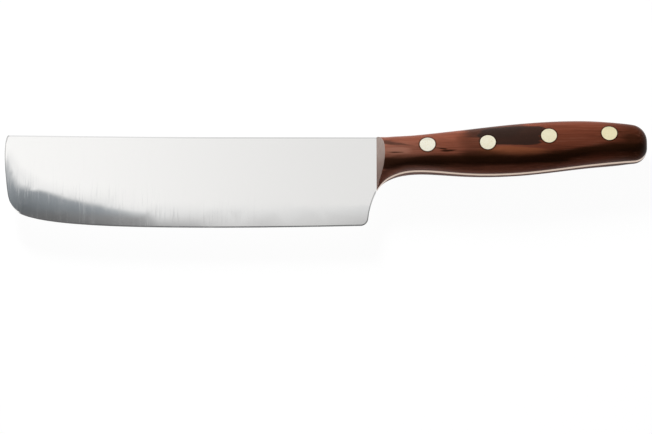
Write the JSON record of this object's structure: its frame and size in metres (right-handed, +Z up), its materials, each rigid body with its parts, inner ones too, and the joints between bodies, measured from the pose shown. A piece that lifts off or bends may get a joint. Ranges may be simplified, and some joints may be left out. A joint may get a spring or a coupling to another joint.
{
  "type": "nakiri knife",
  "caption": "Full-tang nakiri vegetable knife: a broad straight-edged steel blade with contoured wooden handle scales, riveted on with brass.",
  "frame": {"origin": "on the surface under the middle of the knife's outline, as it lies on its right side", "axes": "+X from the tip to the butt, +Y from the cutting edge to the spine, +Z up, square to the blade, towards the knife's left side"},
  "size_m": [0.2938, 0.0516, 0.0184],
  "materials": {
    "blade_steel": "fine satin grind",
    "handle_wood": "oiled, sanded smooth",
    "rivet_brass": "sanded flush with the wood"
  },
  "bodies": {
    "root": {"blade": "blade_steel", "handle_scale_left": "handle_wood", "handle_scale_right": "handle_wood", "rivet_1_post": "rivet_brass", "rivet_1_barrel": "rivet_brass", "rivet_2_post": "rivet_brass", "rivet_2_barrel": "rivet_brass", "rivet_3_post": "rivet_brass", "rivet_3_barrel": "rivet_brass", "rivet_4_post": "rivet_brass", "rivet_4_barrel": "rivet_brass"}
  },
  "joints": []
}
